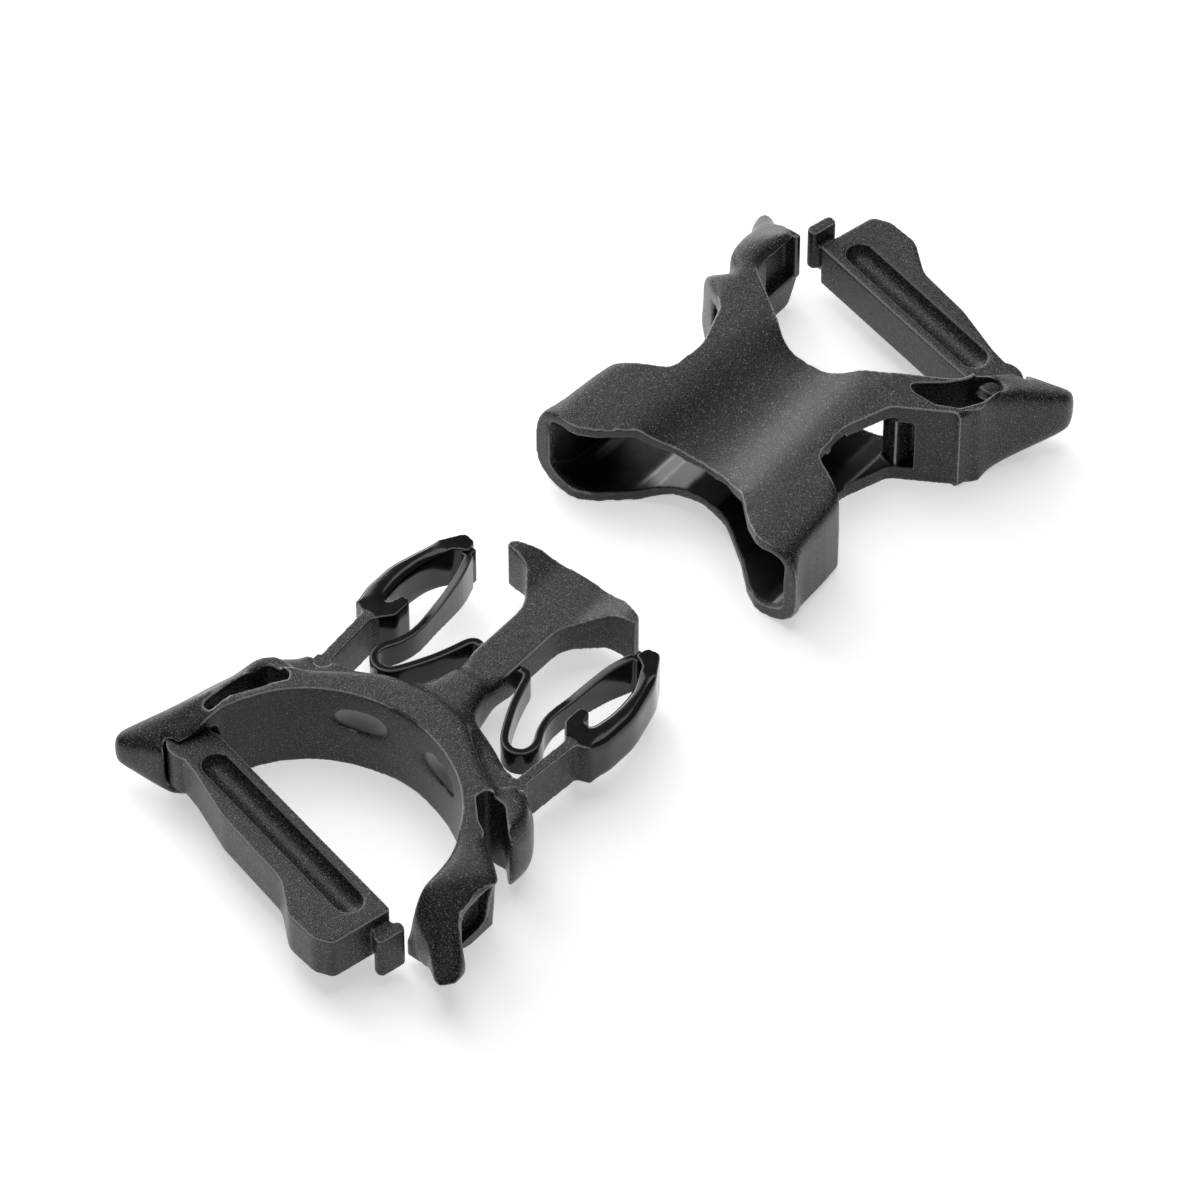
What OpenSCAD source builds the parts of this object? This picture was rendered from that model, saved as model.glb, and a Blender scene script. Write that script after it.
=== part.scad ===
// Side release buckle for 25 mm webbing, lying unfastened: plug half at -Y, socket half at +Y.
// Each half has a split webbing bar that swings out of a hook ear, so the buckle goes on without sewing.
// X runs across the webbing, Y along it, Z up from the surface that both halves lie on.

/* [Body] */
// Thickness of both halves
body_h = 9.8; // [9.4:0.1:10.4]
// Half width between the ears, where the webbing passes
slot_half_w = 13.2; // [13:0.1:13.6]
// How far the root ears reach to the side
root_reach = 20.9; // [20.5:0.1:21.5]
// How far the plug's hook ear reaches to the side
hook_reach = 20.8; // [20.4:0.1:21]

/* [Plug half] */
// Y of the front edge of the guide
guide_front_y = -2.1; // [-2.5:0.1:-1.5]
// Half width of the guide's neck
neck_half_w = 2.1; // [1.8:0.1:2.3]
// Half width of the guide's head
head_half_w = 7.5; // [7:0.1:7.8]
// Thickness of the guide's neck
neck_h = 3.4; // [3:0.1:3.6]
// Thickness of the guide's head at its ends
head_h = 5.4; // [5:0.1:5.8]

/* [Latches] */
// Height of the latch arms and heads
latch_h = 4.8; // [4.2:0.1:5.2]
// Thickness of the latch arms
arm_t = 1.1; // [1:0.1:1.4]
// Thickness of the return springs
spring_t = 0.75; // [0.6:0.05:0.9]
// Height of the return springs
spring_h = 2.8; // [2.2:0.1:3.4]

/* [Socket half] */
// Y of the front of the two lobes
mouth_y = 9.1; // [8.8:0.1:9.8]
// Half width of the mouth outside
mouth_half_w = 15.3; // [15:0.1:15.6]
// Wall of the socket
socket_wall = 1.2; // [1:0.1:1.3]
// How far the middle of the mouth lies behind the lobes
mouth_recess = 5.4; // [4.8:0.1:5.6]

/* [Webbing bars] */
// Thickness of the webbing bars
bar_h = 4.8; // [4.4:0.1:5.2]
// Swing of both bars as they lie, in degrees
bar_open = 12.8; // [11:0.1:14]
// Length of the plug's bar from root to end
plug_bar_l = 25.5; // [25.3:0.1:25.7]
// Length of the socket's bar from root to end
socket_bar_l = 22.6; // [22.4:0.1:22.8]

/* [Hidden] */
$fn = 48;

mid_z = body_h / 2;
// Local zero of the plug's outlines: 3.1 behind the guide's front edge
plug_y = guide_front_y + 3.1;
// Local zero of the socket's outlines: the outlines put the lobes' front at 8.1
socket_y = mouth_y - 8.1;
// Both webbing ends are one design: how far the socket's lies from the plug's turned half round
web_end_shift = -1.35;
// How much nearer to the middle the socket's hook ear stands
hook_in = 2.3;
// Y of the bar's straight inner edge when it is shut, in the plug's outlines
plug_bar_y = -38.27;
// Swing axis of a bar: its X, how far it lies behind the inner edge, and the radius of the barrel about it
bar_root_x = slot_half_w + 1;
bar_axis_back = 2.53;
barrel_r = 2.2;
// From the swing axis to where the bar's length is counted
bar_start = 0.76;
// Height of the hook at the end of a bar, and how far its top lies below the bar's top
hook_h = 4.8;
hook_drop = 1.1;
// Half width of the plug's shoulders
shoulder_half_w = 15.9;
// Inner face of the socket's lower plate at the side windows
window_floor_z = 1.6;
// Step from the arch's rim down to the shoulder with the latch arms
shoulder_drop = 2.4;
// Gap that keeps separate pieces apart
gap = 0.2;
// Outer face of the latch arm on the +X side at its root
arm_outer_x = 11.9;
// Swing axis of that latch, in the plug's outlines
latch_root = [arm_outer_x - arm_t / 2, -26.3];
// Overlap that joins shapes of one piece
join = 0.6;

// Arc that rounds the corner at b between its neighbours, never longer than half of either side
function corner_arc(a, b, c, r, steps) =
    let (u = (a - b) / norm(a - b),
         v = (c - b) / norm(c - b),
         half = acos(max(-1, min(1, u * v))) / 2,
         reach = min(r / tan(half), 0.48 * norm(a - b), 0.48 * norm(c - b)),
         centre = b + (u + v) / norm(u + v) * reach / cos(half),
         start = b + u * reach - centre,
         finish = b + v * reach - centre,
         a0 = atan2(start.y, start.x),
         turn = ((atan2(finish.y, finish.x) - a0 + 540) % 360) - 180)
    [for (i = [0:steps]) centre + norm(start) * [cos(a0 + turn * i / steps), sin(a0 + turn * i / steps)]];

// Outline through rows of [x, y, corner radius]; a radius of 0 keeps the corner sharp
function rounded(rows, steps = 5) =
    let (n = len(rows))
    [for (i = [0:n - 1])
        let (a = rows[(i + n - 1) % n], b = rows[i], c = rows[(i + 1) % n])
        each (b.z == 0 ? [[b.x, b.y]] : corner_arc([a.x, a.y], [b.x, b.y], [c.x, c.y], b.z, steps))];

// Smooth curve through points, a few steps between each pair
function curve(p, steps = 4) =
    let (n = len(p))
    [for (i = [0:n - 2], s = [0:steps - 1])
        let (a = p[max(i - 1, 0)], b = p[i], c = p[i + 1], d = p[min(i + 2, n - 1)], t = s / steps)
        b + (c - a) * t / 2 + (2 * a - 5 * b + 4 * c - d) * t * t / 2
          + (3 * b - a - 3 * c + d) * t * t * t / 2,
     p[n - 1]];

// Outline of a strip of one thickness along a curve
function strip(p, t) =
    let (n = len(p),
         nrm = [for (i = [0:n - 1])
            let (d = p[min(i + 1, n - 1)] - p[max(i - 1, 0)]) [-d.y, d.x] / norm(d)])
    concat([for (i = [0:n - 1]) p[i] + nrm[i] * t / 2], [for (i = [n - 1:-1:0]) p[i] - nrm[i] * t / 2]);

module slab(z0, z1, rows) {
    translate([0, 0, z0]) linear_extrude(z1 - z0) polygon(rounded(rows));
}

// Slab between two heights, centred on the thickness of the body
module mid_slab(h, rows) {
    slab(mid_z - h / 2, mid_z + h / 2, rows);
}

// Solid of a side profile, drawn in Y and Z, between two X
module side_profile(x0, x1, rows) {
    translate([x0, 0, 0]) rotate([90, 0, 90]) linear_extrude(x1 - x0) polygon(rounded(rows));
}

// Solid of a front profile, drawn in X and Z, between two Y
module front_profile(y0, y1, rows) {
    translate([0, y1, 0]) rotate([90, 0, 0]) linear_extrude(y1 - y0) polygon(rounded(rows));
}

module both_sides() {
    children();
    mirror([1, 0, 0]) children();
}

// Space for the webbing inside the plug's arch: an oval that runs out between the ears
module plug_slot() {
    oval_ry = 11.8;
    oval_y = -40;
    steps = 40;
    translate([0, 0, -1]) linear_extrude(body_h + 2) polygon(concat(
        [for (i = [0:steps]) [slot_half_w * cos(180 * i / steps), oval_y + oval_ry * sin(180 * i / steps)]],
        [[-slot_half_w, oval_y - 12], [slot_half_w, oval_y - 12]]));
}

// Side view of the root ear: the top falls and the underside rises towards the tip
module ear_side() {
    side_profile(8, 24, [[-24, 0, 0], [-24, body_h, 0], [-37.5, body_h, 6], [-43.4, 7, 3], [-47, 5.6, 0],
                         [-47, 4.8, 0], [-44.6, 3.6, 1], [-43, 1.4, 2], [-41, 0, 3]]);
}

// Cuts away all outwards of a point on a face that looks along an azimuth and leans back from upright
module face_cut(at, azimuth, lean) {
    translate(at) rotate([0, 0, azimuth]) rotate([0, 90 - lean, 0]) translate([-20, -20, 0])
        cube([40, 40, 20]);
}

module upside_down() {
    translate([0, 0, body_h]) mirror([0, 0, 1]) children();
}

// Repeats a shape on the underside of the body
module top_and_bottom() {
    children();
    upside_down() children();
}

// Ear at the bar's root, drawn on the +X side of the plug's outlines; its bevel starts at bevel_x
module root_ear(bevel_x) {
    difference() {
        intersection() {
            slab(-1, body_h + 1, [[11, -33, 0], [slot_half_w, -37.5, 0], [slot_half_w + 0.7, -40, 2],
                                  [slot_half_w + 1.4, -43, 0.8], [17.6, -44, 1.5],
                                  [root_reach - 1, -45, 0.8], [root_reach, -43.2, 1], [18, -38.8, 6],
                                  [16.4, -35.4, 2], [15.7, -32.8, 0]]);
            ear_side();
        }
        top_and_bottom() face_cut([bevel_x, -32.5, body_h], 14, 45);
    }
}

// Ear at the bar's hook, drawn on the +X side of the plug's outlines: its outer corner stands out to bump_x,
// its rear corner beside the webbing lies at rear_y, and tip is its farthest corner. Its top and its
// underside close in towards the tip, and its outer wall leans in a little and has a window
module hook_ear(bump_x, rear_y, tip) {
    difference() {
        slab(0, body_h, [[11, -31, 0], [12.6, -36.6, 2], [12.7, -40, 2], [12.9, rear_y, 0.6],
                         [16.2, rear_y - 1.1, 2], [tip.x - 2, tip.y + 0.7, 1.5], [tip.x - 0.7, tip.y, 0.7],
                         [tip.x, tip.y + 1, 0.7], [tip.x - 1, rear_y - 0.1, 1.5], [17.6, rear_y + 1.4, 1.2],
                         [17.3, -38.8, 2], [bump_x, -37.1, 0.7], [16.2, -35.4, 2],
                         [14.4, -34.6, 2], [12.8, -32.6, 0]]);
        top_and_bottom() {
            face_cut([13.6, rear_y + 2, body_h], -40, 59);
            face_cut([13.4, rear_y + 1.1, body_h], -116, 23);
        }
        front_profile(rear_y + 2, -30, [[16, -1, 0], [16.1, 1, 0], [16.6, 5, 4], [17.5, 8.9, 1.5],
                                        [20, 9.1, 0], [20, -1, 0]]);
        // Window in the outer wall, in front of the tip
        side_profile(15.1, 24, [[-40.2, 1.4, 0.8], [-40.2, 7.1, 0.8], [-36.4, 7.9, 0.8], [-36.4, 1.4, 0.8]]);
    }
}

// Channel in the hook ear for the hook of a shut bar, open towards the bar and behind
module hook_channel() {
    channel_w = 3.2;
    translate([slot_half_w - 2.1, -48, mid_z + bar_h / 2 - hook_drop - hook_h - 1.5 * gap])
        cube([channel_w, 10.2, hook_h + 3 * gap]);
}

// Room in the ear for the bar's root barrel and for the bar's corner as it swings
module root_space() {
    translate([bar_root_x, plug_bar_y - bar_axis_back, mid_z - bar_h / 2 - gap]) {
        cylinder(r = barrel_r + gap, h = bar_h + 2 * gap);
        translate([-2, 0, 0]) cube([2, bar_axis_back + gap, bar_h + 2 * gap]);
    }
}

// Pocket between the slot and the outside of the plug's root ear, open above and below; its end runs over
// the barrel
module plug_pocket() {
    slab(-1, body_h + 1, [[10.8, -31.4, 0.4], [11.3, -30.7, 0.5], [13.7, -30.9, 0.7], [14.3, -34, 3],
                          [14.7, -37, 0.4], [13.9, -37.1, 0.4], [13.2, -34.8, 3]]);
    top_and_bottom() slab(mid_z + bar_h / 2, body_h + 1, [[13.6, -36, 0], [14, -38.4, 0.4],
                                                          [15, -38.3, 0.4], [14.6, -36, 0]]);
}

// Wider pocket in the same place on the socket, in the socket's outlines; its end runs over the barrel
module socket_pocket() {
    barrel_top = mid_z + bar_h / 2;
    slab(-1, body_h + 1, [[9.4, 31.7, 0.4], [12.1, 34, 2], [13.2, 35.4, 1], [13.7, 36.6, 0.4],
                          [16.1, 36.6, 0.5], [16, 34, 2], [15, 32.3, 0.6], [12.9, 31.2, 2],
                          [10.6, 31.2, 1]]);
    top_and_bottom() slab(barrel_top, body_h + 1, [[13.2, 35.4, 1], [14.2, 38.1, 0.4], [15.1, 38.2, 0.5],
                                                   [16.1, 37.2, 0.5], [16, 34.4, 0]]);
}

// Pocket beside the hook ear, which runs out to the side as a slit
module slit_pocket() {
    slab(-1, body_h + 1, [[10.7, -31.2, 0.4], [11, -30, 0.5], [13, -30, 0.9], [15.4, -32.4, 1],
                          [19, -33.4, 0], [19, -36, 0], [16.3, -34.7, 1.5], [14.3, -34.1, 2],
                          [12.7, -33.2, 1]]);
}

// Cross-section that the plug's shoulders share with the socket's lobes, so that they meet flush
module rounded_section(y0, y1, half_w) {
    front_profile(y0, y1, [[-half_w, body_h, 2.6], [half_w, body_h, 2.6], [half_w, 0, 3.6],
                           [-half_w, 0, 3.6]]);
}

module arch_crown() {
    // Crown between the slot and its upper rim
    slab(0, body_h, [[-13.5, -31.6, 1.5], [-11, -29.8, 1.5], [-7.5, -27.1, 6], [-3.6, -24.9, 3],
                     [0, -24.2, 0], [3.6, -24.9, 3], [7.5, -27.1, 6], [11.2, -29.5, 1], [14, -31.4, 0],
                     [14, -35.4, 0], [-14.2, -35.4, 0]]);
    // Lower shoulder that the latch arms grow out of, with the lug in front of the hook ear
    intersection() {
        slab(shoulder_drop, body_h - shoulder_drop,
             [[-shoulder_half_w, -29.4, 1.5], [-12.8, -26.7, 1], [-9.6, -25.6, 1], [-6.4, -23.9, 3],
              [-2.9, -22.3, 2], [-1.8, -19, 0], [1.8, -19, 0], [2.9, -22.3, 2], [6.4, -23.9, 3],
              [9.6, -25.6, 1], [12.6, -26.6, 1], [14.7, -28, 1], [shoulder_half_w, -29.8, 0.8],
              [shoulder_half_w, -33.2, 1], [13, -33.2, 0], [-shoulder_half_w, -33.2, 0]]);
        rounded_section(-40, -10, shoulder_half_w);
    }
    // Slope from the crown's rim down to the guide's neck
    apron_end = -18.6;
    intersection() {
        slab(0, body_h, [[-7.5, -27.3, 0], [-5, -25.2, 2], [-neck_half_w - 0.4, -22, 4],
                         [-neck_half_w, apron_end, 0], [neck_half_w, apron_end, 0],
                         [neck_half_w + 0.4, -22, 4], [5, -25.2, 2], [7.5, -27.3, 0], [0, -29, 0]]);
        side_profile(-8, 8, [[-29, body_h, 0], [-25.6, body_h, 1.5], [-22.9, mid_z + neck_h / 2 + 0.5, 4],
                             [apron_end, mid_z + neck_h / 2, 0], [apron_end, mid_z - neck_h / 2, 0],
                             [-22.9, mid_z - neck_h / 2 - 0.5, 4], [-25.6, 0, 1.5], [-29, 0, 0]]);
    }
    intersection() {
        slab(0, body_h - 0.6, [[10, -29, 0], [12.4, -27.6, 0.8], [14.2, -28.2, 1],
                               [shoulder_half_w, -30, 1], [shoulder_half_w, -33.2, 1], [10, -33.2, 0]]);
        rounded_section(-40, -10, shoulder_half_w);
    }
    // Rim in front of the pocket beside the root ear
    intersection() {
        slab(0, body_h - 0.5, [[-10, -33.2, 0], [-10, -29.7, 0.6], [-13.7, -29.7, 1], [-15.2, -31.4, 1.5],
                               [-shoulder_half_w, -33.2, 0]]);
        rounded_section(-40, -10, shoulder_half_w);
    }
}

// Tongue that runs into the socket first: a neck with a wide flat head
module guide() {
    guide_rows = [[-neck_half_w, -25, 0], [-neck_half_w, -9.3, 3.4], [-4.9, -5.75, 2],
                  [-head_half_w, -5.3, 0.2], [-head_half_w + 0.1, -4.5, 0.6], [-4.9, -3.5, 1],
                  [0, -3.1, 8], [4.9, -3.5, 1], [head_half_w - 0.1, -4.5, 0.6], [head_half_w, -5.3, 0.2],
                  [4.9, -5.75, 2], [neck_half_w, -9.3, 3.4], [neck_half_w, -25, 0]];
    thick = [[head_half_w + 1, mid_z - head_h / 2, 0], [6.2, mid_z - head_h / 2, 4],
             [2.8, mid_z - neck_h / 2, 4], [0, mid_z - neck_h / 2, 0], [0, mid_z + neck_h / 2, 0],
             [2.8, mid_z + neck_h / 2, 4], [6.2, mid_z + head_h / 2, 4],
             [head_half_w + 1, mid_z + head_h / 2, 0]];
    mid_slab(neck_h, guide_rows);
    intersection() {
        mid_slab(head_h, guide_rows);
        both_sides() front_profile(-9, -2, thick);
    }
}

// Lens-shaped hollow in the inner wall of the arch, round from above to below too
module wall_dimple() {
    lens_r = 3.8;
    lens_depth = 0.9;
    round_r = 1.4;
    translate([4.9, -28.9, mid_z + 1.2]) rotate([0, 0, -25]) translate([0, lens_depth - lens_r, 0])
        rotate_extrude() translate([lens_r - round_r, 0]) circle(r = round_r);
}

// Room in the plug's shoulder for the root of a latch arm, with play for its swing
module latch_space() {
    space_h = latch_h + 2 * gap;
    translate([latch_root.x, latch_root.y, mid_z - space_h / 2]) {
        cylinder(d = arm_t + 1.5 * gap, h = space_h);
        translate([-arm_t / 2 - 1.5 * gap, 0, 0]) cube([arm_t + 3 * gap, 3, space_h]);
    }
}

module plug_frame() {
    color([0.10, 0.10, 0.11]) translate([0, plug_y, 0]) difference() {
        union() {
            arch_crown();
            guide();
            hook_ear(18.3, -43.2, [hook_reach, -47.2]);
            mirror([1, 0, 0]) root_ear(14.1);
        }
        plug_slot();
        both_sides() {
            wall_dimple();
            latch_space();
        }
        slit_pocket();
        hook_channel();
        mirror([1, 0, 0]) {
            plug_pocket();
            root_space();
        }
    }
}

// Latch on the +X side: arm with a round root, hollow head and barb
module latch() {
    translate([0, plug_y, 0]) {
        translate([latch_root.x, latch_root.y, mid_z]) cylinder(d = arm_t, h = latch_h, center = true);
        mid_slab(latch_h, [[arm_outer_x - arm_t, latch_root.y, 0], [arm_outer_x, latch_root.y, 0],
                           [arm_outer_x + 0.5, -19.6, 0.4], [13.7, -19.1, 0.3], [14.3, -17.2, 2],
                           [14.35, -13.6, 6], [13.2, -9.4, 6], [11.4, -6.5, 0.6], [10.1, -6.7, 0.5],
                           [9.7, -8, 0.4], [10.5, -8.3, 0.2], [11.1, -8.7, 0.8], [12.1, -11.6, 6],
                           [12.3, -14.4, 2], [11.9, -17.1, 0.7], [11.2, -17.1, 0.3], [11, -15.9, 0.5],
                           [9.9, -15.7, 0.6], [9.8, -18, 1],
                           [arm_outer_x + 0.5 - arm_t, -19.8, 0.8]]);
    }
}

module plug_latch_left() {
    color([0.05, 0.05, 0.055]) mirror([1, 0, 0]) latch();
}

module plug_latch_right() {
    color([0.05, 0.05, 0.055]) latch();
}

// Return spring on the +X side: a strip from the latch's tip back to a U-turn and on to the guide
module spring() {
    route = curve([[9.55, -8.15], [8.8, -10.4], [8.4, -12.7], [8.1, -15.2], [7.9, -17], [7.95, -18.2],
                   [8.3, -19.5], [8.85, -20.6], [9.05, -21.5], [8.75, -22.4], [7.85, -22.9], [6.9, -22.7],
                   [6.2, -22], [5.3, -20.4], [4.45, -18.6], [3.8, -16.8], [3.4, -15.6], [2.9, -15.1],
                   [2.35, -15.15]], 3);
    translate([0, plug_y, mid_z - spring_h / 2]) linear_extrude(spring_h) polygon(strip(route, spring_t));
}

module plug_spring_left() {
    color([0.05, 0.05, 0.055]) mirror([1, 0, 0]) spring();
}

module plug_spring_right() {
    color([0.05, 0.05, 0.055]) spring();
}

// Rod along X with ball ends
module ball_rod(x0, x1, r) {
    translate([x0, 0, 0]) rotate([0, 90, 0]) cylinder(r = r, h = x1 - x0);
    translate([x0, 0, 0]) sphere(r = r);
    translate([x1, 0, 0]) sphere(r = r);
}

// Webbing bar as it lies when shut: along +X from its root, with its straight inner edge at Y 0
module web_bar(length) {
    groove_r = 1.35;
    groove_d = 1.2;
    hook_top = mid_z + bar_h / 2 - hook_drop;
    difference() {
        mid_slab(bar_h, [[-0.4, -0.1, 0.4], [length, 0, 0.4], [length, -6.3, 0.8],
                         [length - 1.6, -7.3, 1.2], [length - 5, -7.5, 2.5], [length - 8.6, -5.6, 3],
                         [8, -5.4, 4], [2.5, -4.4, 2], [-0.4, -4.2, 0.4]]);
        top_and_bottom() translate([0, -2.35, mid_z + bar_h / 2 + groove_r - groove_d])
            ball_rod(2.9, length - 3.1, groove_r);
    }
    // Barrel about the swing axis
    translate([-bar_start, -bar_axis_back, mid_z]) cylinder(r = barrel_r, h = bar_h, center = true);
    // Neck and hanging hook at the free end
    translate([length - join, -2.2, mid_z - 1.8]) cube([join + 0.9, 1.9, hook_top - mid_z + 1.8]);
    slab(hook_top - hook_h, hook_top, [[length + 0.6, 0.3, 0.4], [length + 1.8, 0.3, 0.5],
                                       [length + 1.8, -2.6, 0.5], [length + 0.6, -2.6, 0.4]]);
}

// A bar set on its swing axis and turned open, in the plug's outlines
module placed_bar(length) {
    translate([-bar_root_x, plug_bar_y - bar_axis_back, 0]) rotate([0, 0, -bar_open])
        translate([bar_start, bar_axis_back, 0]) web_bar(length);
}

module plug_web_bar() {
    color([0.10, 0.10, 0.11]) translate([0, plug_y, 0]) placed_bar(plug_bar_l);
}

// Turns what is drawn in the plug's outlines round to the webbing end of the socket
module on_socket() {
    translate([0, web_end_shift, 0]) rotate([0, 0, 180]) children();
}

// The socket's bar lies with its hook standing up
module socket_web_bar() {
    color([0.10, 0.10, 0.11]) translate([0, socket_y, 0]) on_socket() upside_down() placed_bar(socket_bar_l);
}

// Two lobes with the waist behind them
module socket_lobes() {
    intersection() {
        slab(-1, body_h + 1, [[-mouth_half_w, 8.1, 0], [-10.6, 8.1, 1.5], [-8.9, 9, 1.5], [-6.2, 11.4, 2],
                              [-3, 13.1, 3], [0, 8.1 + mouth_recess, 0], [3, 13.1, 3], [6.2, 11.4, 2],
                              [8.9, 9, 1.5], [10.6, 8.1, 1.5], [mouth_half_w, 8.1, 0],
                              [mouth_half_w - 1.1, 10.2, 2], [13.8, 14.4, 3], [13.4, 16.9, 1.2],
                              [8.6, 19.5, 1.5], [8.2, 24, 0], [-8.2, 24, 0], [-8.6, 19.5, 1.5],
                              [-13.4, 16.9, 1.2], [-13.8, 14.4, 3], [1.1 - mouth_half_w, 10.2, 2]]);
        rounded_section(5, 30, mouth_half_w);
    }
}

// Body behind the waist, which flares out to the ears; its lug beside the hook ear slopes down outwards
module socket_flare() {
    difference() {
        slab(0, body_h, [[-8.2, 22, 0], [8.2, 22, 0], [8.4, 24, 4], [10, 28.4, 1.5], [14.8, 31.4, 1.5],
                         [16.6, 33.4, 1], [16.6, 36.6, 0], [11, 36.6, 0], [-9.6, 36.6, 0],
                         [-11.6, 33.2, 0.4], [-13.2, 32.6, 1], [-14.3, 34, 0.5], [-15.3, 33.2, 0.6],
                         [-14.8, 31.6, 1.5], [-10, 28.4, 1.5], [-8.4, 24, 4]]);
        top_and_bottom() face_cut([-12.6, 31.4, body_h], 135, 45);
    }
}

// Shallow valley along the middle of the upper face, which the underside mirrors
module saddle() {
    valley_r = 9.4;
    translate([0, 8.1 + mouth_recess, 7.75]) rotate([2.4, 0, 0]) translate([0, 0, valley_r])
        rotate([-90, 0, 0]) cylinder(r = valley_r, h = 60, center = true);
}

// Space inside for the guide and the latches: open at the mouth, at both sides behind the lobes and, in the
// middle, to the webbing slot; its section follows the outside, lower along the middle
module inner_space() {
    top = body_h - socket_wall;
    centre_half = neck_h / 2 + 0.25;
    knee_half = 2.75;
    half = [[1.8, centre_half, 2], [4.6, knee_half, 1.5], [6.5, top - mid_z, 2]];
    inside_w = 14.1;
    section = concat([for (r = half) [r.x, mid_z + r.y, r.z]],
                     [[inside_w, top, 1.8], [inside_w, socket_wall, 3]],
                     [for (i = [2:-1:0]) [half[i].x, mid_z - half[i].y, half[i].z]],
                     [for (r = half) [-r.x, mid_z - r.y, r.z]],
                     [[-inside_w, socket_wall, 3], [-inside_w, top, 1.8]],
                     [for (i = [2:-1:0]) [-half[i].x, mid_z + half[i].y, half[i].z]]);
    // Inside the lobes
    intersection() {
        front_profile(7, 21, section);
        slab(-1, body_h + 1, [[-inside_w, 7, 0], [inside_w, 7, 0], [12.9, 10.6, 2], [12.4, 16, 0],
                              [12.4, 21, 0], [-12.4, 21, 0], [-12.4, 16, 0], [-12.9, 10.6, 2]]);
    }
    // Behind the lobes
    intersection() {
        front_profile(19.4, 40, section);
        slab(-1, body_h + 1, [[-8.4, 19.4, 0], [8.4, 19.4, 0], [8.4, 40, 0], [-8.4, 40, 0]]);
    }
    // Side windows, whose front edge leans back from the upper plate to the lower one
    both_sides() intersection() {
        slab(window_floor_z, body_h - window_floor_z, [[6.6, 19, 0], [18, 19, 0], [18, 27, 0],
                                                       [12.2, 28.3, 0], [8.4, 29.4, 1], [6.6, 29.4, 0]]);
        side_profile(6, 20, [[20.6, body_h, 0], [20.6, 7.5, 0], [23.4, window_floor_z, 0], [23.4, 0, 0],
                             [40, 0, 0], [40, body_h, 0]]);
    }
}

// Upright slot at the rear end of each side window
module window_slot() {
    slab(1.6, body_h - 2.1, [[10.3, 27.6, 0], [11.7, 27.6, 0], [12, 31, 0.5], [10.6, 31, 0.5]]);
}

// Space for the webbing between the socket's body and its bar
module socket_slot() {
    hook_side = slot_half_w - hook_in;
    slab(-1, body_h + 1, [[-hook_side, 60, 0], [-hook_side, 34.6, 2.5], [-2.6, 29, 5], [2.6, 29, 5],
                          [slot_half_w, 35.4, 2.5], [slot_half_w, 60, 0]]);
}

module socket_housing() {
    color([0.10, 0.10, 0.11]) translate([0, socket_y, 0]) difference() {
        union() {
            socket_lobes();
            socket_flare();
            on_socket() {
                mirror([1, 0, 0]) root_ear(15.2);
                translate([-hook_in, 0, 0]) hook_ear(16.6, -42.4, [hook_reach - 0.8, -45.8]);
            }
        }
        top_and_bottom() saddle();
        inner_space();
        both_sides() window_slot();
        socket_slot();
        socket_pocket();
        on_socket() {
            mirror([1, 0, 0]) root_space();
            translate([-hook_in, 0, 0]) upside_down() hook_channel();
        }
    }
}

plug_frame();
plug_latch_left();
plug_latch_right();
plug_spring_left();
plug_spring_right();
plug_web_bar();
socket_housing();
socket_web_bar();
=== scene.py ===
# A black side release buckle for 25 mm webbing, lying unfastened on a white table
import bmesh
import bpy
import math
from collections import namedtuple
from mathutils import Matrix, Vector


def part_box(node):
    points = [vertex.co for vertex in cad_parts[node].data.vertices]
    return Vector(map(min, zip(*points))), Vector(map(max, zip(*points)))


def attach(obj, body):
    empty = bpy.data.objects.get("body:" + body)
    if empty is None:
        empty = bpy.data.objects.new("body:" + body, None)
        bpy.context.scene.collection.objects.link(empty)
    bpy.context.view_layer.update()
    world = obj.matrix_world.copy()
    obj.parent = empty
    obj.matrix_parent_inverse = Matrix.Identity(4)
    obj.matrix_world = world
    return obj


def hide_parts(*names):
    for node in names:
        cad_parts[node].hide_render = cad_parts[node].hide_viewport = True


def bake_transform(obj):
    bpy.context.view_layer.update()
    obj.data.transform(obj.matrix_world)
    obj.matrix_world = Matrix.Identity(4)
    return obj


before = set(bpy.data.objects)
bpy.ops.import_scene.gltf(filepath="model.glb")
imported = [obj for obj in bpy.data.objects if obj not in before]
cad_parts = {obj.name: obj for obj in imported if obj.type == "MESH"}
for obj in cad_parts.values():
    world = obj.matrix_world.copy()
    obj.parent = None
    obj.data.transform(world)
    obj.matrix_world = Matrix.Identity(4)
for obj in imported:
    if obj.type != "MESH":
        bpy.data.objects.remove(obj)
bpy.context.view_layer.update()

# Lengths are modelled in millimetres and brought to metres when a piece is finished
MM = 0.001
BODY_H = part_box("plug_frame")[1].z / MM
MID_Z = BODY_H / 2


# Camera and light

LENS_MM = 240
SENSOR_MM = 36
CAMERA_AIM = Vector((-0.97, 1.0, 0)) * MM
CAMERA_DISTANCE = 727.27 * MM
CAMERA_AZIMUTH = math.radians(39.5)
CAMERA_ELEVATION = math.radians(48.4)
# Half of the table's side, in metres
TABLE_HALF_W = 3
WHITE = (1, 1, 1, 1)


def direction(azimuth, elevation):
    """Unit vector from the middle of the object towards a viewer who looks along an azimuth."""
    flat = math.cos(elevation)
    return Vector((math.sin(azimuth) * flat, -math.cos(azimuth) * flat, math.sin(elevation)))


def aim(obj, at):
    """Puts a camera or a light in the scene and turns it at a point."""
    obj.rotation_euler = (at - obj.location).to_track_quat("-Z", "Y").to_euler()
    bpy.context.scene.collection.objects.link(obj)


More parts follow.
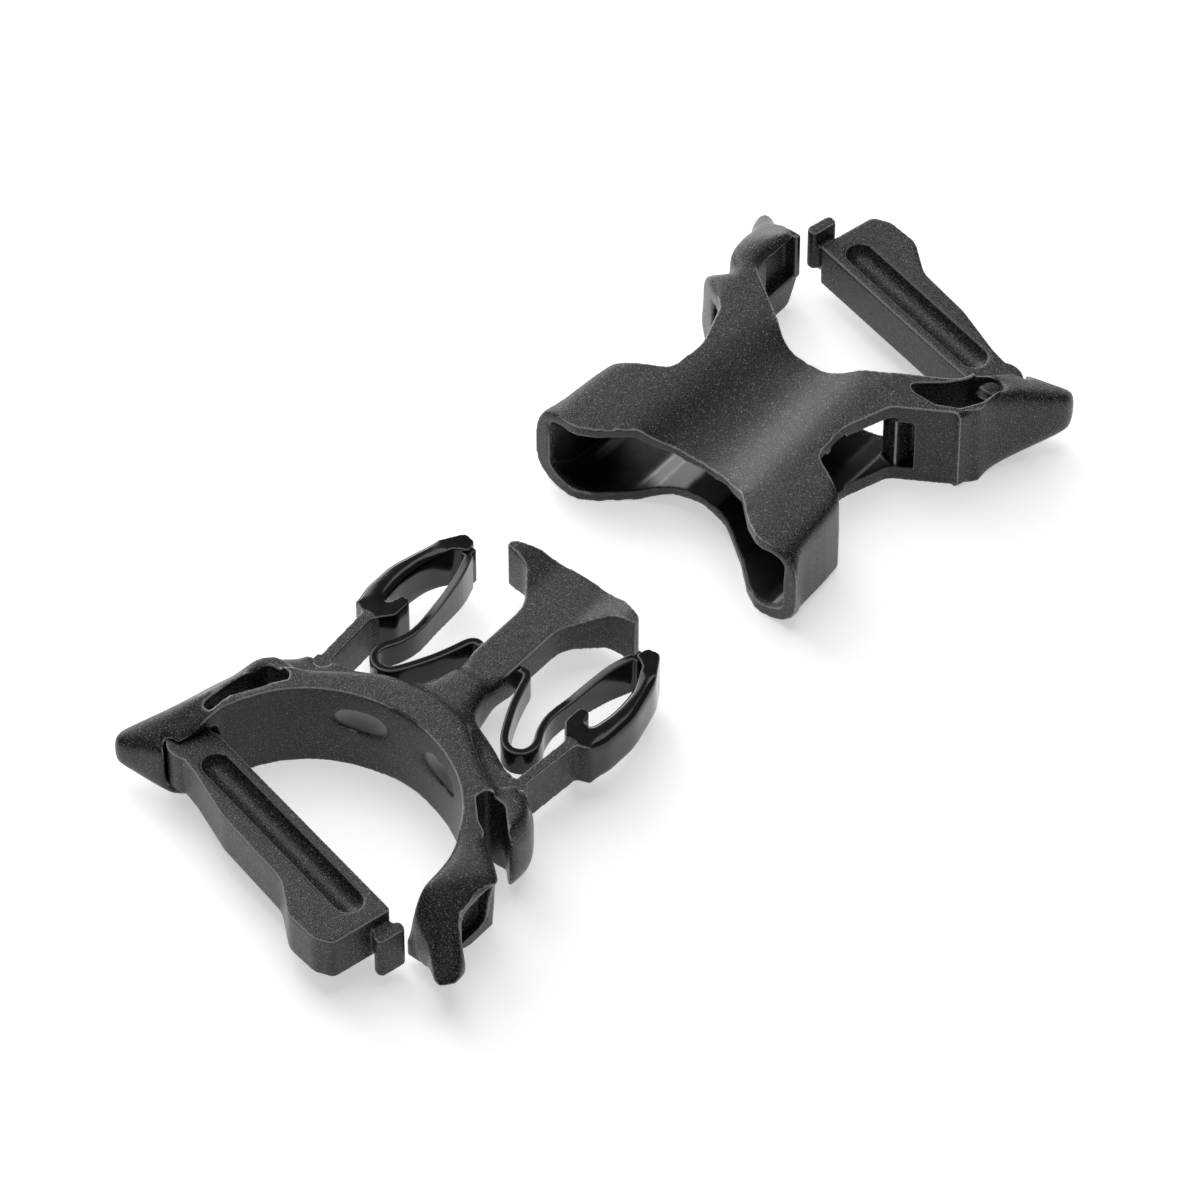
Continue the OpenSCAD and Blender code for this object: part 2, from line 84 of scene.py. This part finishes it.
def make_camera():
    camera = bpy.data.objects.new("camera", bpy.data.cameras.new("camera"))
    camera.data.lens = LENS_MM
    camera.data.sensor_width = SENSOR_MM
    camera.data.clip_start = 0.01
    camera.location = CAMERA_AIM + direction(CAMERA_AZIMUTH, CAMERA_ELEVATION) * CAMERA_DISTANCE
    aim(camera, CAMERA_AIM)
    bpy.context.scene.camera = camera


def softbox(name, azimuth, elevation, distance, width, depth, watts):
    """Large soft light that looks at the object and that no camera sees."""
    light = bpy.data.lights.new(name, "AREA")
    light.shape = "RECTANGLE"
    light.size = width
    light.size_y = depth
    light.energy = watts
    box = bpy.data.objects.new(name, light)
    box.location = direction(math.radians(azimuth), math.radians(elevation)) * distance
    box.visible_camera = False
    aim(box, Vector((0, 0, 0)))


def make_lights():
    """Soft light from behind and from the left, which leaves the sides towards the viewer dark."""
    world = bpy.data.worlds.new("studio")
    world.use_nodes = True
    background = world.node_tree.nodes["Background"]
    background.inputs["Color"].default_value = WHITE
    background.inputs["Strength"].default_value = 0.15
    bpy.context.scene.world = world
    bpy.context.scene.view_settings.view_transform = "Standard"
    softbox("key_left", azimuth=-106, elevation=44, distance=0.7, width=0.4, depth=0.45, watts=1.5)
    softbox("overhead", azimuth=-140, elevation=78, distance=0.75, width=0.55, depth=0.55, watts=2.1)
    softbox("low_back", azimuth=-120, elevation=15, distance=0.8, width=0.8, depth=0.22, watts=3.4)


def white_table():
    """Matt white material that glows a little, so that the table stays white under low light."""
    material = bpy.data.materials.new("white_table")
    material.use_nodes = True
    shader = material.node_tree.nodes["Principled BSDF"]
    shader.inputs["Base Color"].default_value = (0.92, 0.92, 0.92, 1)
    shader.inputs["Roughness"].default_value = 0.7
    shader.inputs["Specular IOR Level"].default_value = 0.2
    shader.inputs["Emission Color"].default_value = WHITE
    shader.inputs["Emission Strength"].default_value = 0.5
    return material


def make_floor():
    floor = bpy.data.meshes.new("floor")
    bm = bmesh.new()
    bmesh.ops.create_grid(bm, x_segments=1, y_segments=1, size=TABLE_HALF_W)
    bm.to_mesh(floor)
    bm.free()
    floor.materials.append(white_table())
    table = bpy.data.objects.new("floor", floor)
    bpy.context.scene.collection.objects.link(table)


make_camera()
make_lights()
make_floor()


# Effects that the plastics share

# Vertex attribute that says how sharp an outer edge is, which masks the painted highlights on edges
EDGE_NAME = "painted_edge_light"
# Sockets of a Mix node that mixes colours
MIX_MASK = 0
MIX_FROM = 6
MIX_TO = 7
MIX_RESULT = 2


def grey(tone):
    return (tone, tone, tone, 1)


def new_group(name, inputs, outputs, kind="NodeSocketFloat"):
    """Shader node group with named sockets, and its input and output nodes."""
    group = bpy.data.node_groups.new(name, "ShaderNodeTree")
    for socket in inputs:
        group.interface.new_socket(name=socket, in_out="INPUT", socket_type=kind)
    for socket in outputs:
        group.interface.new_socket(name=socket, in_out="OUTPUT", socket_type=kind)
    return group, group.nodes.new("NodeGroupInput"), group.nodes.new("NodeGroupOutput")


def place_group(nodes, group, values):
    """Node that stands for a group, with its own values for some inputs."""
    node = nodes.new("ShaderNodeGroup")
    node.node_tree = group
    for name, value in values.items():
        node.inputs[name].default_value = value
    return node


def ramp(nodes, links, value, low, high, to_low=0, to_high=1):
    """Socket that goes from to_low to to_high as a value goes from low to high, and stops there."""
    node = nodes.new("ShaderNodeMapRange")
    node.inputs["From Min"].default_value = low
    node.inputs["From Max"].default_value = high
    node.inputs["To Min"].default_value = to_low
    node.inputs["To Max"].default_value = to_high
    links.new(value, node.inputs["Value"])
    return node.outputs["Result"]


def grain_and_glint_group():
    """Fine spark-eroded grain: its height, and masks of its light sides and of the few specks that get
    painted glints.
    """
    group, start, end = new_group("grain_and_painted_glints", ["Size"], ["Height", "Mottle", "Specks"])
    nodes = group.nodes
    links = group.links
    place = nodes.new("ShaderNodeTexCoord")
    scale = nodes.new("ShaderNodeMath")
    scale.operation = "DIVIDE"
    scale.inputs[0].default_value = 1
    links.new(start.outputs["Size"], scale.inputs[1])
    bumps = nodes.new("ShaderNodeTexNoise")
    bumps.inputs["Detail"].default_value = 2
    bumps.inputs["Roughness"].default_value = 0.7
    cells = nodes.new("ShaderNodeTexVoronoi")
    for texture in (bumps, cells):
        links.new(place.outputs["Object"], texture.inputs["Vector"])
        links.new(scale.outputs[0], texture.inputs["Scale"])
    links.new(bumps.outputs["Fac"], end.inputs["Height"])
    links.new(ramp(nodes, links, bumps.outputs["Fac"], low=0.47, high=0.62), end.inputs["Mottle"])
    # A speck, which gets a painted glint, lies in the middle of a cell, and only in the few cells whose
    # random red is high
    split = nodes.new("ShaderNodeSeparateColor")
    links.new(cells.outputs["Color"], split.inputs["Color"])
    specks = nodes.new("ShaderNodeMath")
    specks.operation = "MULTIPLY"
    links.new(ramp(nodes, links, cells.outputs["Distance"], low=0.5, high=0.2), specks.inputs[0])
    links.new(ramp(nodes, links, split.outputs["Red"], low=0.78, high=1.0), specks.inputs[1])
    links.new(specks.outputs[0], end.inputs["Specks"])
    return group


def parting_group():
    """Height of the thin raised line that the mould's parting leaves at mid height."""
    group, start, end = new_group("parting_line", ["Level", "Half width"], ["Height"])
    nodes = group.nodes
    links = group.links
    place = nodes.new("ShaderNodeTexCoord")
    axes = nodes.new("ShaderNodeSeparateXYZ")
    links.new(place.outputs["Object"], axes.inputs[0])
    line = nodes.new("ShaderNodeMath")
    line.operation = "COMPARE"
    links.new(axes.outputs["Z"], line.inputs[0])
    links.new(start.outputs["Level"], line.inputs[1])
    links.new(start.outputs["Half width"], line.inputs[2])
    links.new(line.outputs[0], end.inputs["Height"])
    return group


def edge_highlight_group():
    """Colour that turns lighter on sharp outer edges: a painted highlight, as where they catch light."""
    group, start, end = new_group("painted_edge_highlights", ["Colour", "Edge highlight colour"], ["Colour"], "NodeSocketColor")
    edge = group.nodes.new("ShaderNodeAttribute")
    edge.attribute_name = EDGE_NAME
    mix = group.nodes.new("ShaderNodeMix")
    mix.data_type = "RGBA"
    group.links.new(edge.outputs["Fac"], mix.inputs[MIX_MASK])
    group.links.new(start.outputs["Colour"], mix.inputs[MIX_FROM])
    group.links.new(start.outputs["Edge highlight colour"], mix.inputs[MIX_TO])
    group.links.new(mix.outputs[MIX_RESULT], end.inputs["Colour"])
    return group


GRAIN_AND_GLINTS = grain_and_glint_group()
PARTING = parting_group()
EDGE_HIGHLIGHTS = edge_highlight_group()


# Materials

# Index of refraction of the plastic, its black, and its black where the mould's core polished it
PLASTIC_IOR = 1.46
BLACK = (0.004, 0.004, 0.0042, 1)
INNER_BLACK = (0.006, 0.006, 0.0062, 1)
# Tones of the grain's light sides, of the painted glints on its specks, and of the painted highlights on
# edges of grained and of smooth surfaces
MOTTLE_TONE = 0.064
SPECK_GLINT_TONE = 0.3
GRAINED_EDGE_HIGHLIGHT_TONE = 0.34
SMOOTH_EDGE_HIGHLIGHT_TONE = 0.12
# Parting line: half its width, and how far it stands out, in metres as the shaders take them
PARTING_HALF_W = 0.09 * MM
PARTING_DEPTH = 0.15 * MM


def new_plastic(name):
    """Material that reflects as the plastic does, before its colour and finish."""
    material = bpy.data.materials.new(name)
    material.use_nodes = True
    material.node_tree.nodes["Principled BSDF"].inputs["IOR"].default_value = PLASTIC_IOR
    return material


def lighten(nodes, links, tone, mask):
    """Mix node that goes from its first colour to a lighter one by a mask."""
    mix = nodes.new("ShaderNodeMix")
    mix.data_type = "RGBA"
    mix.inputs[MIX_TO].default_value = grey(tone)
    links.new(mask, mix.inputs[MIX_MASK])
    return mix


def bump_over(nodes, links, height, distance, strength):
    """Bump node of a height from 0 to 1 that stands out by a distance in metres."""
    bump = nodes.new("ShaderNodeBump")
    bump.inputs["Distance"].default_value = distance
    bump.inputs["Strength"].default_value = strength
    links.new(height, bump.inputs["Height"])
    return bump


def add_relief(nodes, links, height, distance, strength):
    """Gives the shader a fine relief, with the parting line over it."""
    fine = bump_over(nodes, links, height, distance, strength)
    line = place_group(nodes, PARTING, {"Level": MID_Z * MM, "Half width": PARTING_HALF_W})
    ridge = bump_over(nodes, links, line.outputs["Height"], PARTING_DEPTH, strength=1)
    links.new(fine.outputs["Normal"], ridge.inputs["Normal"])
    links.new(ridge.outputs["Normal"], nodes["Principled BSDF"].inputs["Normal"])


def grained_plastic(name, colour, roughness, size, depth):
    """Black moulded plastic with a matt grain, painted glints on its specks and painted highlights on its
    sharp edges.
    """
    material = new_plastic(name)
    nodes = material.node_tree.nodes
    links = material.node_tree.links
    shader = nodes["Principled BSDF"]
    shader.inputs["Specular IOR Level"].default_value = 0.33
    grain = place_group(nodes, GRAIN_AND_GLINTS, {"Size": size})
    mottled = lighten(nodes, links, MOTTLE_TONE, grain.outputs["Mottle"])
    mottled.inputs[MIX_FROM].default_value = colour
    # Painted glints: the specks are lighter in colour, as where they catch the light
    speck_lit = lighten(nodes, links, SPECK_GLINT_TONE, grain.outputs["Specks"])
    links.new(mottled.outputs[MIX_RESULT], speck_lit.inputs[MIX_FROM])
    # Painted highlights: sharp edges are lighter in colour, as where they catch the light
    edge_lit = place_group(nodes, EDGE_HIGHLIGHTS, {"Edge highlight colour": grey(GRAINED_EDGE_HIGHLIGHT_TONE)})
    links.new(speck_lit.outputs[MIX_RESULT], edge_lit.inputs["Colour"])
    links.new(edge_lit.outputs["Colour"], shader.inputs["Base Color"])
    # The specks glint, so they are smoother than the rest
    gloss = ramp(nodes, links, grain.outputs["Specks"], 0, 1, roughness, roughness * 0.6)
    links.new(gloss, shader.inputs["Roughness"])
    add_relief(nodes, links, grain.outputs["Height"], depth, strength=1)
    return material


def smooth_plastic(name, colour, roughness):
    """Black moulded plastic from a polished part of the mould, with faint flow marks and painted highlights
    on its sharp edges.
    """
    material = new_plastic(name)
    nodes = material.node_tree.nodes
    links = material.node_tree.links
    shader = nodes["Principled BSDF"]
    # Painted highlights: sharp edges are lighter in colour, as where they catch the light
    edge_lit = place_group(nodes, EDGE_HIGHLIGHTS, {"Colour": colour, "Edge highlight colour": grey(SMOOTH_EDGE_HIGHLIGHT_TONE)})
    links.new(edge_lit.outputs["Colour"], shader.inputs["Base Color"])
    place = nodes.new("ShaderNodeTexCoord")
    waves = nodes.new("ShaderNodeTexNoise")
    waves.inputs["Scale"].default_value = 900
    waves.inputs["Detail"].default_value = 3
    links.new(place.outputs["Object"], waves.inputs["Vector"])
    gloss = ramp(nodes, links, waves.outputs["Fac"], 0, 1, roughness * 0.7, roughness * 1.4)
    links.new(gloss, shader.inputs["Roughness"])
    add_relief(nodes, links, waves.outputs["Fac"], 0.02 * MM, strength=0.4)
    return material


BODY_BLACK = grained_plastic("grained_black", BLACK, roughness=0.26, size=0.13 * MM, depth=0.05 * MM)
LATCH_BLACK = smooth_plastic("polished_black", BLACK, roughness=0.13)
CORE_BLACK = smooth_plastic("core_black", INNER_BLACK, roughness=0.3)


# Moulded pieces

def piece_from(name, bm):
    """Object in millimetres from a bmesh."""
    mesh = bpy.data.meshes.new(name)
    bm.to_mesh(mesh)
    bm.free()
    obj = bpy.data.objects.new(name, mesh)
    bpy.context.scene.collection.objects.link(obj)
    return obj


def add_block(bm, low, high):
    """Closed box between two corners, which the remesh then joins to what it overlaps."""
    low = Vector(low)
    high = Vector(high)
    size = high - low
    place = Matrix.Translation((low + high) / 2) @ Matrix.Diagonal((size.x, size.y, size.z, 1))
    bmesh.ops.create_cube(bm, size=1, matrix=place)


def cad_copy(name, node, blocks=()):
    """Copy of a CAD node in millimetres, with its loose triangles joined and blocks added to it."""
    bm = bmesh.new()
    bm.from_mesh(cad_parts[node].data)
    bmesh.ops.scale(bm, vec=(1 / MM,) * 3, verts=bm.verts)
    bmesh.ops.remove_doubles(bm, verts=bm.verts, dist=0.002)
    for low, high in blocks:
        add_block(bm, low, high)
    return piece_from(name, bm)


def bake_modifiers(obj):
    """Replaces a piece's mesh by what its modifiers make of it."""
    view = bpy.context.evaluated_depsgraph_get()
    mesh = bpy.data.meshes.new_from_object(obj.evaluated_get(view))
    obj.modifiers.clear()
    obj.data = mesh


def smooth_step(value):
    value = max(0.0, min(1.0, value))
    return value * value * (3 - 2 * value)


def rise(beyond, over=1):
    """0 where a limit isn't passed, and up to 1 where a place lies beyond it by more than over."""
    return smooth_step(beyond / over)


def soften(obj, name, weight, rounds):
    """Smooths a piece more where a weight from 0 to 1, worked out for each vertex, is high."""
    steps = 10
    levels = {}
    for vertex in obj.data.vertices:
        level = round(weight(vertex.co, vertex.normal) * steps)
        if level:
            levels.setdefault(level, []).append(vertex.index)
    group = obj.vertex_groups.new(name=name)
    for level, members in levels.items():
        group.add(members, level / steps, "REPLACE")
    smooth = obj.modifiers.new(name, "SMOOTH")
    smooth.factor = 0.5
    smooth.iterations = rounds
    smooth.vertex_group = name


# Turn between two faces, in radians, from which an outer edge counts as sharp
SHARP_TURN = 0.25


def mark_edges(obj):
    """Stores on each vertex how sharply the surface turns outwards there, the mask of the painted edge
    highlights.
    """
    bm = bmesh.new()
    bm.from_mesh(obj.data)
    turns = []
    for vertex in bm.verts:
        turns.append(max((edge.calc_face_angle_signed(0) for edge in vertex.link_edges), default=0))
    bm.free()
    marks = obj.data.attributes.new(EDGE_NAME, "FLOAT", "POINT")
    marks.data.foreach_set("value", [rise(turn - SHARP_TURN, over=SHARP_TURN) for turn in turns])


def round_off(obj, voxel, rounds, triangles, extra=()):
    """Fine mesh whose edges are rounded as a moulding's are, and more so where extra weights say."""
    remesh = obj.modifiers.new("remesh", "REMESH")
    remesh.mode = "VOXEL"
    remesh.voxel_size = voxel
    remesh.use_smooth_shade = True
    bake_modifiers(obj)
    for number, (weight, more) in enumerate(extra):
        soften(obj, "zone_%d" % number, weight, more)
    smooth = obj.modifiers.new("smooth", "SMOOTH")
    smooth.factor = 0.5
    smooth.iterations = rounds
    faces = 2 * len(obj.data.polygons)
    if faces > triangles:
        thin = obj.modifiers.new("thin", "DECIMATE")
        thin.ratio = triangles / faces
    bake_modifiers(obj)
    obj.vertex_groups.clear()
    mark_edges(obj)


def finish_piece(obj, node, materials):
    """Brings a piece to metres and lets it stand for its node."""
    obj.data.transform(Matrix.Scale(MM, 4))
    obj.data.materials.clear()
    for material in materials:
        obj.data.materials.append(material)
    for face in obj.data.polygons:
        face.use_smooth = True
    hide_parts(node)


# Where the mould rounds a half off further

Zone = namedtuple("Zone", "x y z radius rounds")
PLUG_ZONES = (
    Zone(15.5, -40.5, BODY_H, 8, 500),  # top of the hook ear
    Zone(18.5, -44, MID_Z, 6, 60),  # tip of the hook ear
    Zone(-18.5, -40.5, MID_Z, 7, 220),  # outer end of the root ear
    Zone(15.5, -30, MID_Z, 4.5, 160),  # lobe beside the slit
    Zone(-14.3, -32.5, BODY_H, 3, 120),  # upper rim of the pocket
    Zone(-14.3, -32.5, 0, 3, 120),  # lower rim of the pocket
    Zone(0, -22.5, MID_Z, 8, 250),  # neck of the guide
)
SOCKET_ZONES = (
    Zone(-15, 41, BODY_H, 8, 500),  # top of the hook ear
    Zone(-17, 44, MID_Z, 6, 80),  # tip of the hook ear
    Zone(18.5, 40, MID_Z, 8, 300),  # outer end of the root ear
    Zone(-15, 32, BODY_H - 2, 5.5, 300),  # foot of the hook ear
    Zone(15, 14, BODY_H, 6.5, 200),  # outer side of the right lobe
    Zone(-15, 14, BODY_H, 6.5, 200),  # outer side of the left lobe
)

# What keeps its rim
Rim = namedtuple("Rim", "middle radius")
KEPT_RIMS = (
    Rim(Vector((16.5, -37.3, 4.6)), 4.6),  # window in the plug's hook ear
    Rim(Vector((-11.2, 40, 5)), 4),  # channel in the socket's hook ear
)


def zone_weight(zone):
    """Weight that falls from 1 in the middle of a zone to 0 at its radius, and is 0 about a kept rim."""
    middle = Vector((zone.x, zone.y, zone.z))

    def weight(place, normal):
        inside = smooth_step(2 * (1 - (place - middle).length / zone.radius))
        for rim in KEPT_RIMS:
            inside *= rise((place - rim.middle).length - rim.radius, over=1.5)
        return inside
    return weight


# Plug half

# Oval of the webbing slot: its middle, half its width and its reach towards the socket
SLOT_Y = -39
SLOT_HALF_W = 13.2
SLOT_REACH = 11.8
# Arch round the slot: where its ears end, and where the guide's neck is clear of it
EARS_END_Y = -33
NECK_CLEAR_Y = -18
# Slot's ratio up to which the rim beside the slot keeps its shape
RIM_RATIO = 1.08
# Dimples in the slot's wall: half the width that both span, their lowest and highest place, and the
# slot's ratios between which their floors lie
DIMPLES_HALF_W = 8.5
DIMPLE_LOW_Z = 4.6
DIMPLE_HIGH_Z = 7.6
DIMPLE_START_RATIO = 1.012
DIMPLE_END_RATIO = 1.1
# Middles and radii of a latch arm's root and of the pocket near it, on the right side
ARM_ROOT = (11.35, -25.3)
ARM_ROOT_R = 1.4
POCKET = (12.6, -31.2)
POCKET_R = 2.4
# Wall that closes the hook ear behind, past the place of a shut bar's hook: two corners
PLUG_EAR_WALL = ((12.9, -42.4, 1), (14.6, -41.6, 6.6))


def slot_ratio(place):
    """1 on the oval wall of the plug's webbing slot, and more outside it."""
    return math.hypot(place.x / SLOT_HALF_W, (place.y - SLOT_Y) / SLOT_REACH)


def distance_from(spot, place):
    """Distance, seen from above, to a spot that the half has on both sides."""
    return math.hypot(abs(place.x) - spot[0], place.y - spot[1])


def crown_weight(place, normal):
    """Outer rim of the plug's arch and the step down to its shoulder, away from pockets and latch roots."""
    if place.y < EARS_END_Y:
        return 0.0
    off_slot = rise(slot_ratio(place) - RIM_RATIO, over=0.12)
    off_root = rise(distance_from(ARM_ROOT, place) - ARM_ROOT_R)
    off_pocket = rise(distance_from(POCKET, place) - POCKET_R, over=1.5)
    off_neck = rise(NECK_CLEAR_Y - place.y, over=6)
    return off_slot * off_root * off_pocket * off_neck


def paint_dimple_highlights(plug):
    """Paints a highlight on the floor of both dimples in the slot's wall, in the light tone of the painted
    edge highlights.
    """
    marks = plug.data.attributes[EDGE_NAME].data
    for vertex in plug.data.vertices:
        place = vertex.co / MM
        ratio = slot_ratio(place)
        in_span = abs(place.x) < DIMPLES_HALF_W and DIMPLE_LOW_Z < place.z < DIMPLE_HIGH_Z
        if in_span and DIMPLE_START_RATIO < ratio < DIMPLE_END_RATIO:
            marks[vertex.index].value = rise(ratio - DIMPLE_START_RATIO, over=0.02)


# Socket half

# Skin of the upper and lower plates: it starts behind the mouth's rim, further back in the middle,
# and ends before the webbing slot, whose edge runs back at a slope
SKIN_FRONT_Y = 9.1
SKIN_FRONT_INSET = 5.4
SKIN_INSET_HALF_W = 10
SKIN_BACK_Y = 31.5
SKIN_BACK_SLOPE = 0.35
# Strip that stays free inside those edges, and least distance of the skin from mid height
SKIN_MARGIN = 0.4
SKIN_FROM_MID = 2.5
# Half widths of the skin on the lobes and on the waist behind them
LOBES_END_Y = 19
LOBES_HALF_W = 11
WAIST_HALF_W = 8.0
# Stretch of the inside that the mould's core shaped
CORE_FRONT_Y = 9.8
CORE_BACK_Y = 31
# A face looks a way when its normal points that way by more than this share of its length
FACING = 0.3
# Least distance of a core's level wall from mid height
CORE_HALF_H = 0.3
# Wall that closes the hook ear behind: two corners
SOCKET_EAR_WALL = ((-12.3, 41.5, BODY_H - 6.6), (-10.6, 42.2, BODY_H - 1))


def saddle_weight(place, normal):
    """Outer skin of the socket's upper and lower plates, away from the mouth's rim and the webbing slot."""
    outward = normal.z if place.z > MID_Z else -normal.z
    if outward < FACING or abs(place.z - MID_Z) < SKIN_FROM_MID:
        return 0.0
    front = SKIN_FRONT_Y + SKIN_FRONT_INSET * smooth_step(1 - abs(place.x) / SKIN_INSET_HALF_W)
    back = SKIN_BACK_Y + SKIN_BACK_SLOPE * abs(place.x)
    from_rim = min(place.y - front, back - place.y)
    half_w = WAIST_HALF_W if place.y > LOBES_END_Y else LOBES_HALF_W
    return rise(from_rim - SKIN_MARGIN, over=1.8) * rise(half_w - abs(place.x), over=2.5)


def polish_inside(socket):
    """Gives the walls that the mould's core shaped, which face the middle of the socket, a smooth finish."""
    for face in socket.data.polygons:
        place = face.center / MM
        to_middle = Vector((-place.x, 0, MID_Z - place.z)).normalized()
        to_mid_height = face.normal.z * (MID_Z - place.z) > CORE_HALF_H
        inwards = face.normal.dot(to_middle) > FACING or to_mid_height
        if CORE_FRONT_Y < place.y < CORE_BACK_Y and inwards:
            face.material_index = 1


# Both halves and their webbing bars

def make_body(name, node, body, ear_wall, zones, skin):
    """A half without its bar and latches; skin is a weight and its rounds of smoothing."""
    obj = cad_copy(name, node, [ear_wall])
    extra = [(zone_weight(zone), zone.rounds) for zone in zones] + [skin]
    round_off(obj, voxel=0.14, rounds=8, triangles=190000, extra=extra)
    finish_piece(obj, node, [BODY_BLACK, CORE_BLACK])
    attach(obj, body)
    return obj


def make_bar(name, node, body):
    """Split webbing bar, grained all over."""
    obj = cad_copy(name, node)
    round_off(obj, voxel=0.12, rounds=14, triangles=100000)
    finish_piece(obj, node, [BODY_BLACK])
    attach(obj, body)


# The floors of the dimples in the plug's slot get a painted highlight
paint_dimple_highlights(make_body("plug_body", "plug_frame", "plug", PLUG_EAR_WALL, PLUG_ZONES, (crown_weight, 160)))
polish_inside(make_body("socket_body", "socket_housing", "socket", SOCKET_EAR_WALL, SOCKET_ZONES,
                        (saddle_weight, 1000)))
make_bar("plug_bar_shape", "plug_web_bar", "plug_bar")
make_bar("socket_bar_shape", "socket_web_bar", "socket_bar")


# Latches and return springs

# Root of a latch arm, which fills its slot in the shoulder: its sides, rear end and half its height
ROOT_SIDES = (10.45, 12.25)
ROOT_BACK_Y = -26.3
ROOT_HALF_H = 2.4
# Front of a latch arm's root, where the arm leaves the block that fills its slot
ROOT_Y = -24.9
# Behind this the latch is grained as the body is, and in front of it polished
POLISH_Y = -18.2
# Ends of the latch's head, and where its round outer side starts
HEAD_BACK_Y = -18.3
HEAD_FRONT_Y = -7.5
HEAD_SIDE_X = 11.2
# Joints of a spring: with its latch's tip, and at its foot with the guide's neck
TIP_SIDES = (9.45, 10.3)
TIP_STRETCH = (-7.5, -6.2)
FOOT_SIDES = (1.8, 2.7)
FOOT_STRETCH = (-14.5, -13.8)
STRIP_HALF_H = 1.35
# Outside GROWTH_X the strip grows in height, from GROWTH_Y towards the tip and by this share of it
GROWTH_X = 7.3
GROWTH_Y = -15
TIP_GROWTH = 0.6


def block(sign, sides, stretch, half_h):
    """Corners of a block at mid height, on the side of the buckle that a sign gives."""
    near_x, far_x = sorted(sign * x for x in sides)
    return (near_x, stretch[0], MID_Z - half_h), (far_x, stretch[1], MID_Z + half_h)


def head_weight(place, normal):
    """Outer side of a latch's head, which is round from above to below."""
    from_back = rise(place.y - HEAD_BACK_Y, over=1.5)
    from_front = rise(HEAD_FRONT_Y - place.y, over=1.5)
    return from_back * from_front * rise(abs(place.x) - HEAD_SIDE_X, over=0.8)


def make_latch(side, sign):
    """Latch arm and head; its root fills the slot in the shoulder, so that it grows out of it."""
    root = block(sign, ROOT_SIDES, (ROOT_BACK_Y, ROOT_Y), ROOT_HALF_H)
    obj = cad_copy("latch_" + side, "plug_latch_" + side, [root])
    round_off(obj, voxel=0.1, rounds=7, triangles=120000, extra=[(head_weight, 280)])
    finish_piece(obj, "plug_latch_" + side, [LATCH_BLACK, BODY_BLACK])
    for face in obj.data.polygons:
        face.material_index = 1 if face.center.y < POLISH_Y * MM else 0
    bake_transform(obj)


def make_spring(side, sign):
    """Return spring, joined to the latch's tip and to the guide's neck as on the real moulding."""
    tip = block(sign, TIP_SIDES, TIP_STRETCH, STRIP_HALF_H)
    foot = block(sign, FOOT_SIDES, FOOT_STRETCH, STRIP_HALF_H)
    obj = cad_copy("spring_" + side, "plug_spring_" + side, [tip, foot])
    round_off(obj, voxel=0.08, rounds=5, triangles=60000)
    # The strip grows as high as the latch's head towards the tip
    for vertex in obj.data.vertices:
        if abs(vertex.co.x) > GROWTH_X:
            growth = 1 + TIP_GROWTH * rise(vertex.co.y - GROWTH_Y, over=8)
            vertex.co.z = MID_Z + (vertex.co.z - MID_Z) * growth
    finish_piece(obj, "plug_spring_" + side, [LATCH_BLACK])
    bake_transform(obj)


for side, sign in (("left", -1), ("right", 1)):
    make_latch(side, sign)
    make_spring(side, sign)
